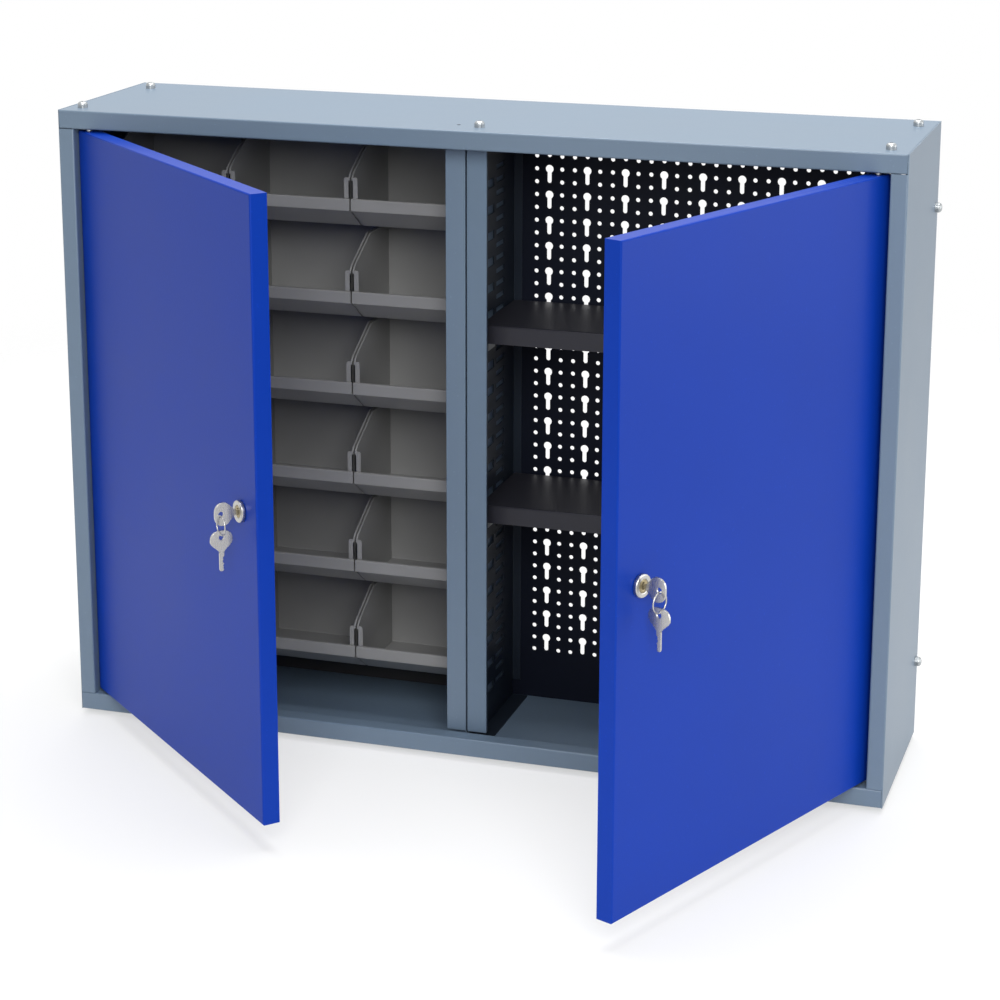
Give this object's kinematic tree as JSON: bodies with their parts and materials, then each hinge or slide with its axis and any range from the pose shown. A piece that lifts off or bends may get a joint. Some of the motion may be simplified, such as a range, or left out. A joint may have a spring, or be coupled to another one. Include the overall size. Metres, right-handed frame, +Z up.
{
  "type": "wall tool cabinet",
  "caption": "Wall-mounted sheet-metal tool cabinet with two hinged doors, cam locks with keys, hanging storage bins, adjustable shelves and a perforated back.",
  "frame": {"origin": "middle of the wall plane, halfway between the upper and the lower row of wall screw holes", "axes": "+X to the right seen from the front, +Y from the doors towards the wall, +Z up"},
  "size_m": [0.8, 0.5276, 0.6],
  "materials": {
    "interior_paint": "powder coat, satin, dark",
    "carcass_paint": "powder coat, satin, light grey-blue",
    "door_paint": "powder coat, semi-gloss, strong blue",
    "shelf_paint": "powder coat, satin, anthracite",
    "bin_plastic": "dark grey polypropylene, slightly see-through",
    "nickel_plate": "polished nickel plate",
    "galvanised_steel": "bright zinc plate"
  },
  "bodies": {
    "cabinet": {"bin_rail_row_1": "galvanised_steel", "bin_rail_row_2": "galvanised_steel", "bin_rail_row_3": "galvanised_steel", "bin_rail_row_4": "galvanised_steel", "bin_rail_row_5": "galvanised_steel", "bin_rail_row_6": "galvanised_steel", "bottom_panel": "carcass_paint", "divider_left_panel": "carcass_paint", "divider_right_panel": "carcass_paint", "hinge_pins": "galvanised_steel", "left_side_panel": "carcass_paint", "lower_shelf_clips": "galvanised_steel", "rear_frame_right": "interior_paint", "rear_panel_left": "interior_paint", "rear_panel_right": "interior_paint", "right_side_panel": "carcass_paint", "right_slotted_panel": "carcass_paint", "top_panel": "carcass_paint", "upper_shelf_clips": "galvanised_steel"},
    "left_door": {"left_door_shell": "door_paint", "left_door_stiffener": "door_paint", "left_lock_body": "nickel_plate"},
    "left_lock_core": {"left_lock_plug": "nickel_plate", "left_lock_cam": "nickel_plate", "left_key": "nickel_plate"},
    "left_ring": {"left_key_ring": "nickel_plate"},
    "left_spare": {"left_spare_key": "nickel_plate"},
    "right_door": {"right_door_shell": "door_paint", "right_door_stiffener": "door_paint", "right_lock_body": "nickel_plate"},
    "right_lock_core": {"right_lock_plug": "nickel_plate", "right_lock_cam": "nickel_plate", "right_key": "nickel_plate"},
    "right_ring": {"right_key_ring": "nickel_plate"},
    "right_spare": {"right_spare_key": "nickel_plate"},
    "upper_shelf_lift_out": {"upper_shelf": "shelf_paint"},
    "lower_shelf_lift_out": {"lower_shelf": "shelf_paint"},
    "bin_1_1": {"bin_row_1_column_1": "bin_plastic"},
    "bin_1_2": {"bin_row_1_column_2": "bin_plastic"},
    "bin_1_3": {"bin_row_1_column_3": "bin_plastic"},
    "bin_2_1": {"bin_row_2_column_1": "bin_plastic"},
    "bin_2_2": {"bin_row_2_column_2": "bin_plastic"},
    "bin_2_3": {"bin_row_2_column_3": "bin_plastic"},
    "bin_3_1": {"bin_row_3_column_1": "bin_plastic"},
    "bin_3_2": {"bin_row_3_column_2": "bin_plastic"},
    "bin_3_3": {"bin_row_3_column_3": "bin_plastic"},
    "bin_4_1": {"bin_row_4_column_1": "bin_plastic"},
    "bin_4_2": {"bin_row_4_column_2": "bin_plastic"},
    "bin_4_3": {"bin_row_4_column_3": "bin_plastic"},
    "bin_5_1": {"bin_row_5_column_1": "bin_plastic"},
    "bin_5_2": {"bin_row_5_column_2": "bin_plastic"},
    "bin_5_3": {"bin_row_5_column_3": "bin_plastic"},
    "bin_6_1": {"bin_row_6_column_1": "bin_plastic"},
    "bin_6_2": {"bin_row_6_column_2": "bin_plastic"},
    "bin_6_3": {"bin_row_6_column_3": "bin_plastic"}
  },
  "joints": [
    {"name": "left_door_swing", "type": "hinge", "parent": "cabinet", "child": "left_door", "pos_m": [-0.3725, -0.183, 0], "axis": [0, 0, -1], "range_deg": [-42.2, 62.8]},
    {"name": "right_door_swing", "type": "hinge", "parent": "cabinet", "child": "right_door", "pos_m": [0.3725, -0.183, 0], "axis": [0, 0, 1], "range_deg": [-67.2, 37.8]},
    {"name": "left_lock_turn", "type": "hinge", "parent": "left_door", "child": "left_lock_core", "pos_m": [-0.12526, -0.41798, 0], "axis": [-0.6717, -0.7408, 0], "range_deg": [0, 90]},
    {"name": "right_lock_turn", "type": "hinge", "parent": "right_door", "child": "right_lock_core", "pos_m": [0.24773, -0.50046, 0], "axis": [-0.9219, 0.3875, 0], "range_deg": [0, 90]},
    {"name": "left_key_ring_swing", "type": "hinge", "parent": "left_lock_core", "child": "left_ring", "pos_m": [-0.13836, -0.43243, -0.0015], "axis": [-0.7408, 0.6717, 0], "range_deg": [-8, 60]},
    {"name": "left_spare_key_swing", "type": "hinge", "parent": "left_ring", "child": "left_spare", "pos_m": [-0.13836, -0.43243, -0.0187], "axis": [-0.7408, 0.6717, 0], "range_deg": [-8, 40]},
    {"name": "right_key_ring_swing", "type": "hinge", "parent": "right_lock_core", "child": "right_ring", "pos_m": [0.26571, -0.50801, -0.0015], "axis": [-0.3875, -0.9219, 0], "range_deg": [-8, 60]},
    {"name": "right_spare_key_swing", "type": "hinge", "parent": "right_ring", "child": "right_spare", "pos_m": [0.26571, -0.50801, -0.0187], "axis": [-0.3875, -0.9219, 0], "range_deg": [-8, 40]},
    {"name": "upper_shelf_lift", "type": "slide", "parent": "cabinet", "child": "upper_shelf_lift_out", "axis": [0, 0, 1], "range_m": [0, 0.008]},
    {"name": "lower_shelf_lift", "type": "slide", "parent": "cabinet", "child": "lower_shelf_lift_out", "axis": [0, 0, 1], "range_m": [0, 0.008]},
    {"name": "bin_1_1_lift", "type": "slide", "parent": "cabinet", "child": "bin_1_1", "axis": [0, 0, 1], "range_m": [0, 0.007]},
    {"name": "bin_1_2_lift", "type": "slide", "parent": "cabinet", "child": "bin_1_2", "axis": [0, 0, 1], "range_m": [0, 0.007]},
    {"name": "bin_1_3_lift", "type": "slide", "parent": "cabinet", "child": "bin_1_3", "axis": [0, 0, 1], "range_m": [0, 0.007]},
    {"name": "bin_2_1_lift", "type": "slide", "parent": "cabinet", "child": "bin_2_1", "axis": [0, 0, 1], "range_m": [0, 0.007]},
    {"name": "bin_2_2_lift", "type": "slide", "parent": "cabinet", "child": "bin_2_2", "axis": [0, 0, 1], "range_m": [0, 0.007]},
    {"name": "bin_2_3_lift", "type": "slide", "parent": "cabinet", "child": "bin_2_3", "axis": [0, 0, 1], "range_m": [0, 0.007]},
    {"name": "bin_3_1_lift", "type": "slide", "parent": "cabinet", "child": "bin_3_1", "axis": [0, 0, 1], "range_m": [0, 0.007]},
    {"name": "bin_3_2_lift", "type": "slide", "parent": "cabinet", "child": "bin_3_2", "axis": [0, 0, 1], "range_m": [0, 0.007]},
    {"name": "bin_3_3_lift", "type": "slide", "parent": "cabinet", "child": "bin_3_3", "axis": [0, 0, 1], "range_m": [0, 0.007]},
    {"name": "bin_4_1_lift", "type": "slide", "parent": "cabinet", "child": "bin_4_1", "axis": [0, 0, 1], "range_m": [0, 0.007]},
    {"name": "bin_4_2_lift", "type": "slide", "parent": "cabinet", "child": "bin_4_2", "axis": [0, 0, 1], "range_m": [0, 0.007]},
    {"name": "bin_4_3_lift", "type": "slide", "parent": "cabinet", "child": "bin_4_3", "axis": [0, 0, 1], "range_m": [0, 0.007]},
    {"name": "bin_5_1_lift", "type": "slide", "parent": "cabinet", "child": "bin_5_1", "axis": [0, 0, 1], "range_m": [0, 0.007]},
    {"name": "bin_5_2_lift", "type": "slide", "parent": "cabinet", "child": "bin_5_2", "axis": [0, 0, 1], "range_m": [0, 0.007]},
    {"name": "bin_5_3_lift", "type": "slide", "parent": "cabinet", "child": "bin_5_3", "axis": [0, 0, 1], "range_m": [0, 0.007]},
    {"name": "bin_6_1_lift", "type": "slide", "parent": "cabinet", "child": "bin_6_1", "axis": [0, 0, 1], "range_m": [0, 0.007]},
    {"name": "bin_6_2_lift", "type": "slide", "parent": "cabinet", "child": "bin_6_2", "axis": [0, 0, 1], "range_m": [0, 0.007]},
    {"name": "bin_6_3_lift", "type": "slide", "parent": "cabinet", "child": "bin_6_3", "axis": [0, 0, 1], "range_m": [0, 0.007]}
  ]
}
